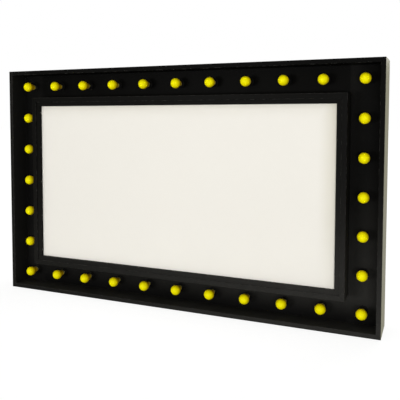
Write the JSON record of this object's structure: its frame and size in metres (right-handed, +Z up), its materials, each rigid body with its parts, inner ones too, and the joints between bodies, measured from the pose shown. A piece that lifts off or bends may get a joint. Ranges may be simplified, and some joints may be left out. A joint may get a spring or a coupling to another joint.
{
  "type": "marquee sign",
  "caption": "Black rectangular marquee sign: a white display panel in a raised surround, with yellow bayonet lamps in the channel round it, a rear switch and inlet.",
  "frame": {"origin": "middle of the base, on the surface the sign stands on", "axes": "+X to the right seen from the front, +Y from the display to the back, +Z up"},
  "size_m": [1.8, 0.18, 1.1],
  "materials": {
    "black_paint": "satin black paint on board",
    "white_panel": "plain off-white sheet",
    "bare_timber": "bare softwood",
    "hardboard": "bare hardboard",
    "steel": "zinc-plated",
    "brass": "plain brass",
    "black_plastic": "moulded black",
    "rocker_plastic": "moulded gloss black",
    "cable": "black sheathed cable",
    "yellow_lamp": "yellow-coated glass with a metal cap"
  },
  "bodies": {
    "sign": {"case_bottom": "black_paint", "case_left": "black_paint", "case_top": "black_paint", "case_right": "black_paint", "lamp_board_bottom": "black_paint", "lamp_board_left": "black_paint", "lamp_board_top": "black_paint", "lamp_board_right": "black_paint", "surround_bottom": "black_paint", "surround_left": "black_paint", "surround_top": "black_paint", "surround_right": "black_paint", "bead_bottom": "black_paint", "bead_left": "black_paint", "bead_top": "black_paint", "bead_right": "black_paint", "display_panel": "white_panel", "battens": "bare_timber", "back_cover": "hardboard", "cover_screws": "steel", "hanging_rails": "black_paint", "threaded_inserts": "brass", "lampholders": "black_plastic", "wiring": "cable", "terminal_block": "black_plastic", "mains_inlet": "black_plastic", "switch_body": "black_plastic"},
    "rocker": {"rocker": "rocker_plastic"},
    "lamp_top_01": {"lamp_top_01": "yellow_lamp"},
    "lamp_top_02": {"lamp_top_02": "yellow_lamp"},
    "lamp_top_03": {"lamp_top_03": "yellow_lamp"},
    "lamp_top_04": {"lamp_top_04": "yellow_lamp"},
    "lamp_top_05": {"lamp_top_05": "yellow_lamp"},
    "lamp_top_06": {"lamp_top_06": "yellow_lamp"},
    "lamp_top_07": {"lamp_top_07": "yellow_lamp"},
    "lamp_top_08": {"lamp_top_08": "yellow_lamp"},
    "lamp_top_09": {"lamp_top_09": "yellow_lamp"},
    "lamp_top_10": {"lamp_top_10": "yellow_lamp"},
    "lamp_top_11": {"lamp_top_11": "yellow_lamp"},
    "lamp_bottom_01": {"lamp_bottom_01": "yellow_lamp"},
    "lamp_bottom_02": {"lamp_bottom_02": "yellow_lamp"},
    "lamp_bottom_03": {"lamp_bottom_03": "yellow_lamp"},
    "lamp_bottom_04": {"lamp_bottom_04": "yellow_lamp"},
    "lamp_bottom_05": {"lamp_bottom_05": "yellow_lamp"},
    "lamp_bottom_06": {"lamp_bottom_06": "yellow_lamp"},
    "lamp_bottom_07": {"lamp_bottom_07": "yellow_lamp"},
    "lamp_bottom_08": {"lamp_bottom_08": "yellow_lamp"},
    "lamp_bottom_09": {"lamp_bottom_09": "yellow_lamp"},
    "lamp_bottom_10": {"lamp_bottom_10": "yellow_lamp"},
    "lamp_bottom_11": {"lamp_bottom_11": "yellow_lamp"},
    "lamp_left_01": {"lamp_left_01": "yellow_lamp"},
    "lamp_left_02": {"lamp_left_02": "yellow_lamp"},
    "lamp_left_03": {"lamp_left_03": "yellow_lamp"},
    "lamp_left_04": {"lamp_left_04": "yellow_lamp"},
    "lamp_left_05": {"lamp_left_05": "yellow_lamp"},
    "lamp_right_01": {"lamp_right_01": "yellow_lamp"},
    "lamp_right_02": {"lamp_right_02": "yellow_lamp"},
    "lamp_right_03": {"lamp_right_03": "yellow_lamp"},
    "lamp_right_04": {"lamp_right_04": "yellow_lamp"},
    "lamp_right_05": {"lamp_right_05": "yellow_lamp"}
  },
  "joints": [
    {"name": "rocker_tip", "type": "hinge", "parent": "sign", "child": "rocker", "pos_m": [-0.75845, 0.0585, 0.1085], "axis": [1, 0, 0], "range_deg": [0, 18]},
    {"name": "lamp_top_01_turn", "type": "hinge", "parent": "sign", "child": "lamp_top_01", "pos_m": [-0.8205, -0.041, 1.0235], "axis": [0, -1, 0], "range_deg": [0, 20]},
    {"name": "lamp_top_02_turn", "type": "hinge", "parent": "sign", "child": "lamp_top_02", "pos_m": [-0.6564, -0.041, 1.0235], "axis": [0, -1, 0], "range_deg": [0, 20]},
    {"name": "lamp_top_03_turn", "type": "hinge", "parent": "sign", "child": "lamp_top_03", "pos_m": [-0.4923, -0.041, 1.0235], "axis": [0, -1, 0], "range_deg": [0, 20]},
    {"name": "lamp_top_04_turn", "type": "hinge", "parent": "sign", "child": "lamp_top_04", "pos_m": [-0.3282, -0.041, 1.0235], "axis": [0, -1, 0], "range_deg": [0, 20]},
    {"name": "lamp_top_05_turn", "type": "hinge", "parent": "sign", "child": "lamp_top_05", "pos_m": [-0.1641, -0.041, 1.0235], "axis": [0, -1, 0], "range_deg": [0, 20]},
    {"name": "lamp_top_06_turn", "type": "hinge", "parent": "sign", "child": "lamp_top_06", "pos_m": [0, -0.041, 1.0235], "axis": [0, -1, 0], "range_deg": [0, 20]},
    {"name": "lamp_top_07_turn", "type": "hinge", "parent": "sign", "child": "lamp_top_07", "pos_m": [0.1641, -0.041, 1.0235], "axis": [0, -1, 0], "range_deg": [0, 20]},
    {"name": "lamp_top_08_turn", "type": "hinge", "parent": "sign", "child": "lamp_top_08", "pos_m": [0.3282, -0.041, 1.0235], "axis": [0, -1, 0], "range_deg": [0, 20]},
    {"name": "lamp_top_09_turn", "type": "hinge", "parent": "sign", "child": "lamp_top_09", "pos_m": [0.4923, -0.041, 1.0235], "axis": [0, -1, 0], "range_deg": [0, 20]},
    {"name": "lamp_top_10_turn", "type": "hinge", "parent": "sign", "child": "lamp_top_10", "pos_m": [0.6564, -0.041, 1.0235], "axis": [0, -1, 0], "range_deg": [0, 20]},
    {"name": "lamp_top_11_turn", "type": "hinge", "parent": "sign", "child": "lamp_top_11", "pos_m": [0.8205, -0.041, 1.0235], "axis": [0, -1, 0], "range_deg": [0, 20]},
    {"name": "lamp_bottom_01_turn", "type": "hinge", "parent": "sign", "child": "lamp_bottom_01", "pos_m": [-0.8205, -0.041, 0.0765], "axis": [0, -1, 0], "range_deg": [0, 20]},
    {"name": "lamp_bottom_02_turn", "type": "hinge", "parent": "sign", "child": "lamp_bottom_02", "pos_m": [-0.6564, -0.041, 0.0765], "axis": [0, -1, 0], "range_deg": [0, 20]},
    {"name": "lamp_bottom_03_turn", "type": "hinge", "parent": "sign", "child": "lamp_bottom_03", "pos_m": [-0.4923, -0.041, 0.0765], "axis": [0, -1, 0], "range_deg": [0, 20]},
    {"name": "lamp_bottom_04_turn", "type": "hinge", "parent": "sign", "child": "lamp_bottom_04", "pos_m": [-0.3282, -0.041, 0.0765], "axis": [0, -1, 0], "range_deg": [0, 20]},
    {"name": "lamp_bottom_05_turn", "type": "hinge", "parent": "sign", "child": "lamp_bottom_05", "pos_m": [-0.1641, -0.041, 0.0765], "axis": [0, -1, 0], "range_deg": [0, 20]},
    {"name": "lamp_bottom_06_turn", "type": "hinge", "parent": "sign", "child": "lamp_bottom_06", "pos_m": [0, -0.041, 0.0765], "axis": [0, -1, 0], "range_deg": [0, 20]},
    {"name": "lamp_bottom_07_turn", "type": "hinge", "parent": "sign", "child": "lamp_bottom_07", "pos_m": [0.1641, -0.041, 0.0765], "axis": [0, -1, 0], "range_deg": [0, 20]},
    {"name": "lamp_bottom_08_turn", "type": "hinge", "parent": "sign", "child": "lamp_bottom_08", "pos_m": [0.3282, -0.041, 0.0765], "axis": [0, -1, 0], "range_deg": [0, 20]},
    {"name": "lamp_bottom_09_turn", "type": "hinge", "parent": "sign", "child": "lamp_bottom_09", "pos_m": [0.4923, -0.041, 0.0765], "axis": [0, -1, 0], "range_deg": [0, 20]},
    {"name": "lamp_bottom_10_turn", "type": "hinge", "parent": "sign", "child": "lamp_bottom_10", "pos_m": [0.6564, -0.041, 0.0765], "axis": [0, -1, 0], "range_deg": [0, 20]},
    {"name": "lamp_bottom_11_turn", "type": "hinge", "parent": "sign", "child": "lamp_bottom_11", "pos_m": [0.8205, -0.041, 0.0765], "axis": [0, -1, 0], "range_deg": [0, 20]},
    {"name": "lamp_left_01_turn", "type": "hinge", "parent": "sign", "child": "lamp_left_01", "pos_m": [-0.8205, -0.041, 0.86567], "axis": [0, -1, 0], "range_deg": [0, 20]},
    {"name": "lamp_left_02_turn", "type": "hinge", "parent": "sign", "child": "lamp_left_02", "pos_m": [-0.8205, -0.041, 0.70783], "axis": [0, -1, 0], "range_deg": [0, 20]},
    {"name": "lamp_left_03_turn", "type": "hinge", "parent": "sign", "child": "lamp_left_03", "pos_m": [-0.8205, -0.041, 0.55], "axis": [0, -1, 0], "range_deg": [0, 20]},
    {"name": "lamp_left_04_turn", "type": "hinge", "parent": "sign", "child": "lamp_left_04", "pos_m": [-0.8205, -0.041, 0.39217], "axis": [0, -1, 0], "range_deg": [0, 20]},
    {"name": "lamp_left_05_turn", "type": "hinge", "parent": "sign", "child": "lamp_left_05", "pos_m": [-0.8205, -0.041, 0.23433], "axis": [0, -1, 0], "range_deg": [0, 20]},
    {"name": "lamp_right_01_turn", "type": "hinge", "parent": "sign", "child": "lamp_right_01", "pos_m": [0.8205, -0.041, 0.86567], "axis": [0, -1, 0], "range_deg": [0, 20]},
    {"name": "lamp_right_02_turn", "type": "hinge", "parent": "sign", "child": "lamp_right_02", "pos_m": [0.8205, -0.041, 0.70783], "axis": [0, -1, 0], "range_deg": [0, 20]},
    {"name": "lamp_right_03_turn", "type": "hinge", "parent": "sign", "child": "lamp_right_03", "pos_m": [0.8205, -0.041, 0.55], "axis": [0, -1, 0], "range_deg": [0, 20]},
    {"name": "lamp_right_04_turn", "type": "hinge", "parent": "sign", "child": "lamp_right_04", "pos_m": [0.8205, -0.041, 0.39217], "axis": [0, -1, 0], "range_deg": [0, 20]},
    {"name": "lamp_right_05_turn", "type": "hinge", "parent": "sign", "child": "lamp_right_05", "pos_m": [0.8205, -0.041, 0.23433], "axis": [0, -1, 0], "range_deg": [0, 20]}
  ]
}
